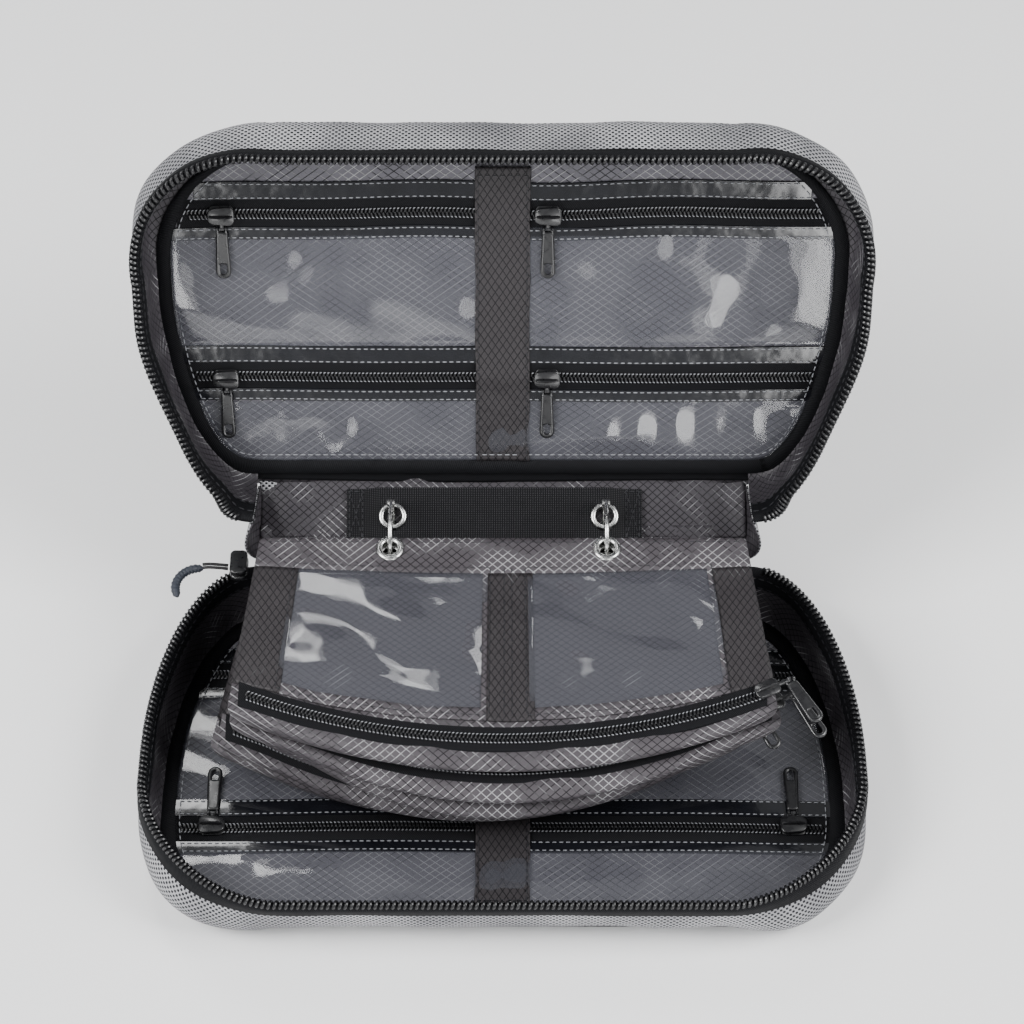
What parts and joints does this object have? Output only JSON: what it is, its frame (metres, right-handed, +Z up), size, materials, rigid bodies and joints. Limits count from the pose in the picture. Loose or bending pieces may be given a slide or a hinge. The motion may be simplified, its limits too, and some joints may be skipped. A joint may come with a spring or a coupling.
{
  "type": "zip-around organiser bag",
  "caption": "Soft zip-around case opened flat-backed like a book, clear zip pockets in both halves and zip pouches on split rings in its spine.",
  "frame": {"origin": "middle of the flat face that the lower shell rests on", "axes": "+X right along the spine, +Y back from the lower half to the spine and lid, +Z up"},
  "size_m": [0.24, 0.2144, 0.1706],
  "materials": {
    "outer_weave": "two-tone light grey basket weave, matt",
    "ripstop": "grey ripstop lining with a fine diamond grid",
    "clear_sheet": "clear flexible sheet, glossy",
    "black_tape": "black woven tape and webbing",
    "zip_coil": "black coil zip on woven tape",
    "black_metal": "black painted zinc",
    "nickel": "bright nickel plate",
    "puller": "dark moulded grip"
  },
  "bodies": {
    "base": {"lower_shell": "outer_weave", "lower_rim_zip": "zip_coil", "lower_binding": "black_tape", "lower_centre_strip": "ripstop", "main_slider": "black_metal", "lower_pocket_window_1": "clear_sheet", "lower_pocket_window_2": "clear_sheet", "lower_pocket_zip_1": "zip_coil", "lower_pocket_zip_2": "zip_coil"},
    "spine": {"spine_panel": "ripstop", "ring_webbing": "black_tape", "webbing_eyelet_left": "nickel", "webbing_eyelet_right": "nickel"},
    "lid": {"upper_shell": "outer_weave", "upper_rim_zip": "zip_coil", "upper_binding": "black_tape", "upper_centre_strip": "ripstop", "upper_pocket_window_1": "clear_sheet", "upper_pocket_window_2": "clear_sheet", "upper_pocket_zip_1": "zip_coil", "upper_pocket_zip_2": "zip_coil"},
    "rings": {"ring_left_back": "nickel", "ring_right_back": "nickel"},
    "ring_gates": {"ring_left_gate": "nickel", "ring_right_gate": "nickel"},
    "puller": {"puller_loop": "black_tape", "puller_grip": "puller"},
    "pouch_1": {"pouch_1": "ripstop", "pouch_1_zip": "zip_coil"},
    "pouch_2": {"pouch_2": "ripstop", "pouch_2_zip": "zip_coil"},
    "pouch_3": {"pouch_3": "ripstop", "pouch_3_zip": "zip_coil"},
    "pouch_4": {"pouch_4": "ripstop", "pouch_4_zip": "zip_coil"},
    "pouch_5": {"pouch_5": "ripstop", "pouch_5_zip": "zip_coil"},
    "pouch_1_slider": {"pouch_1_slider": "black_metal"},
    "pouch_1_slider_tab": {"pouch_1_slider_tab": "black_metal"},
    "pouch_2_slider": {"pouch_2_slider": "black_metal"},
    "pouch_2_slider_tab": {"pouch_2_slider_tab": "black_metal"},
    "pouch_3_slider": {"pouch_3_slider": "black_metal"},
    "pouch_3_slider_tab": {"pouch_3_slider_tab": "black_metal"},
    "lower_slider_left_1": {"lower_slider_left_1": "black_metal"},
    "lower_slider_left_1_tab": {"lower_slider_left_1_tab": "black_metal"},
    "lower_slider_right_1": {"lower_slider_right_1": "black_metal"},
    "lower_slider_right_1_tab": {"lower_slider_right_1_tab": "black_metal"},
    "lower_slider_left_2": {"lower_slider_left_2": "black_metal"},
    "lower_slider_left_2_tab": {"lower_slider_left_2_tab": "black_metal"},
    "lower_slider_right_2": {"lower_slider_right_2": "black_metal"},
    "lower_slider_right_2_tab": {"lower_slider_right_2_tab": "black_metal"},
    "upper_slider_left_1": {"upper_slider_left_1": "black_metal"},
    "upper_slider_left_1_tab": {"upper_slider_left_1_tab": "black_metal"},
    "upper_slider_right_1": {"upper_slider_right_1": "black_metal"},
    "upper_slider_right_1_tab": {"upper_slider_right_1_tab": "black_metal"},
    "upper_slider_left_2": {"upper_slider_left_2": "black_metal"},
    "upper_slider_left_2_tab": {"upper_slider_left_2_tab": "black_metal"},
    "upper_slider_right_2": {"upper_slider_right_2": "black_metal"},
    "upper_slider_right_2_tab": {"upper_slider_right_2_tab": "black_metal"}
  },
  "joints": [
    {"name": "spine_fold", "type": "hinge", "parent": "base", "child": "spine", "pos_m": [0, 0.06438, 0.03], "axis": [1, 0, 0], "range_deg": [-10, 64]},
    {"name": "lid_fold", "type": "hinge", "parent": "spine", "child": "lid", "pos_m": [0, 0.09022, 0.0426], "axis": [1, 0, 0], "range_deg": [-60, 54]},
    {"name": "ring_turn", "type": "hinge", "parent": "spine", "child": "rings", "pos_m": [0, 0.0657, 0.04667], "axis": [1, 0, 0], "range_deg": [-70.12, 11.8]},
    {"name": "ring_gate_open", "type": "hinge", "parent": "rings", "child": "ring_gates", "pos_m": [0, 0.07258, 0.0565], "axis": [1, 0, 0], "range_deg": [-30, 0]},
    {"name": "pouch_1_turn", "type": "hinge", "parent": "ring_gates", "child": "pouch_1", "pos_m": [0, 0.0657, 0.04667], "axis": [1, 0, 0], "range_deg": [-115, 0]},
    {"name": "pouch_2_turn", "type": "hinge", "parent": "ring_gates", "child": "pouch_2", "pos_m": [0, 0.0657, 0.04667], "axis": [1, 0, 0], "range_deg": [-93, 1]},
    {"name": "pouch_3_turn", "type": "hinge", "parent": "ring_gates", "child": "pouch_3", "pos_m": [0, 0.0657, 0.04667], "axis": [1, 0, 0], "range_deg": [-70, 1]},
    {"name": "pouch_4_turn", "type": "hinge", "parent": "ring_gates", "child": "pouch_4", "pos_m": [0, 0.0657, 0.04667], "axis": [1, 0, 0], "range_deg": [-47, 1]},
    {"name": "pouch_5_turn", "type": "hinge", "parent": "ring_gates", "child": "pouch_5", "pos_m": [0, 0.0657, 0.04667], "axis": [1, 0, 0], "range_deg": [-24, 1]},
    {"name": "pouch_1_slider_run", "type": "hinge", "parent": "pouch_1", "child": "pouch_1_slider", "pos_m": [0, 0.20084, 0.05902], "axis": [0, -0.0436, 0.999], "range_deg": [-42.43, 0]},
    {"name": "pouch_1_slider_tab_swing", "type": "hinge", "parent": "pouch_1_slider", "child": "pouch_1_slider_tab", "pos_m": [0.09349, 0.00355, 0.05471], "axis": [0.866, 0.4995, 0.0218], "range_deg": [-120, 0]},
    {"name": "pouch_2_slider_run", "type": "hinge", "parent": "pouch_2", "child": "pouch_2_slider", "pos_m": [0.001, 0.20354, 0.06885], "axis": [0, -0.1253, 0.9921], "range_deg": [-41.91, 0]},
    {"name": "pouch_2_slider_tab_swing", "type": "hinge", "parent": "pouch_2_slider", "child": "pouch_2_slider_tab", "pos_m": [0.09551, 0.00238, 0.04777], "axis": [0.866, 0.4961, 0.0627], "range_deg": [-20, 0]},
    {"name": "pouch_3_slider_run", "type": "hinge", "parent": "pouch_3", "child": "pouch_3_slider", "pos_m": [-0.002, 0.15129, 0.06765], "axis": [0, -0.2062, 0.9785], "range_deg": [-48.37, 0]},
    {"name": "pouch_3_slider_tab_swing", "type": "hinge", "parent": "pouch_3_slider", "child": "pouch_3_slider_tab", "pos_m": [0.08131, 0.0027, 0.04073], "axis": [0.866, 0.4893, 0.1031], "range_deg": [-3, 0]},
    {"name": "lower_slider_left_1_run", "type": "slide", "parent": "base", "child": "lower_slider_left_1", "axis": [-1, 0, 0], "range_m": [-0.07235, 0]},
    {"name": "lower_slider_left_1_tab_swing", "type": "hinge", "parent": "lower_slider_left_1", "child": "lower_slider_left_1_tab", "pos_m": [-0.08935, 0.04007, 0.0056], "axis": [-1, 0, 0], "range_deg": [-120, 0]},
    {"name": "lower_slider_right_1_run", "type": "slide", "parent": "base", "child": "lower_slider_right_1", "axis": [1, 0, 0], "range_m": [-0.07235, 0]},
    {"name": "lower_slider_right_1_tab_swing", "type": "hinge", "parent": "lower_slider_right_1", "child": "lower_slider_right_1_tab", "pos_m": [0.08935, 0.04007, 0.0056], "axis": [-1, 0, 0], "range_deg": [-120, 0]},
    {"name": "lower_slider_left_2_run", "type": "slide", "parent": "base", "child": "lower_slider_left_2", "axis": [-1, 0, 0], "range_m": [-0.08046, 0]},
    {"name": "lower_slider_left_2_tab_swing", "type": "hinge", "parent": "lower_slider_left_2", "child": "lower_slider_left_2_tab", "pos_m": [-0.09746, -0.01893, 0.0056], "axis": [-1, 0, 0], "range_deg": [-120, 0]},
    {"name": "lower_slider_right_2_run", "type": "slide", "parent": "base", "child": "lower_slider_right_2", "axis": [1, 0, 0], "range_m": [-0.08046, 0]},
    {"name": "lower_slider_right_2_tab_swing", "type": "hinge", "parent": "lower_slider_right_2", "child": "lower_slider_right_2_tab", "pos_m": [0.09746, -0.01893, 0.0056], "axis": [-1, 0, 0], "range_deg": [-120, 0]},
    {"name": "upper_slider_left_1_run", "type": "slide", "parent": "lid", "child": "upper_slider_left_1", "axis": [-1, 0, 0], "range_m": [-0.07567, 0]},
    {"name": "upper_slider_left_1_tab_swing", "type": "hinge", "parent": "upper_slider_left_1", "child": "upper_slider_left_1_tab", "pos_m": [-0.09267, 0.13159, 0.12967], "axis": [1, 0, 0], "range_deg": [-120, 0]},
    {"name": "upper_slider_right_1_run", "type": "slide", "parent": "lid", "child": "upper_slider_right_1", "axis": [-1, 0, 0], "range_m": [-0.07767, 0]},
    {"name": "upper_slider_right_1_tab_swing", "type": "hinge", "parent": "upper_slider_right_1", "child": "upper_slider_right_1_tab", "pos_m": [0.015, 0.13159, 0.12967], "axis": [1, 0, 0], "range_deg": [-120, 0]},
    {"name": "upper_slider_left_2_run", "type": "slide", "parent": "lid", "child": "upper_slider_left_2", "axis": [-1, 0, 0], "range_m": [-0.07673, 0]},
    {"name": "upper_slider_left_2_tab_swing", "type": "hinge", "parent": "upper_slider_left_2", "child": "upper_slider_left_2_tab", "pos_m": [-0.09373, 0.10389, 0.07758], "axis": [1, 0, 0], "range_deg": [-120, 0]},
    {"name": "upper_slider_right_2_run", "type": "slide", "parent": "lid", "child": "upper_slider_right_2", "axis": [-1, 0, 0], "range_m": [-0.07873, 0]},
    {"name": "upper_slider_right_2_tab_swing", "type": "hinge", "parent": "upper_slider_right_2", "child": "upper_slider_right_2_tab", "pos_m": [0.015, 0.10389, 0.07758], "axis": [1, 0, 0], "range_deg": [-120, 0]},
    {"name": "puller_swing", "type": "hinge", "parent": "base", "child": "puller", "pos_m": [-0.0954, 0.06317, 0.031], "axis": [0, 0, 1], "range_deg": [-45, 15]}
  ],
  "couplings": [
    {"joint": "ring_turn", "follows": "spine_fold", "ratio": -1.08},
    {"joint": "pouch_2_turn", "follows": "pouch_1_turn", "ratio": 0.8},
    {"joint": "pouch_3_turn", "follows": "pouch_1_turn", "ratio": 0.6},
    {"joint": "pouch_4_turn", "follows": "pouch_1_turn", "ratio": 0.4},
    {"joint": "pouch_5_turn", "follows": "pouch_1_turn", "ratio": 0.2}
  ]
}
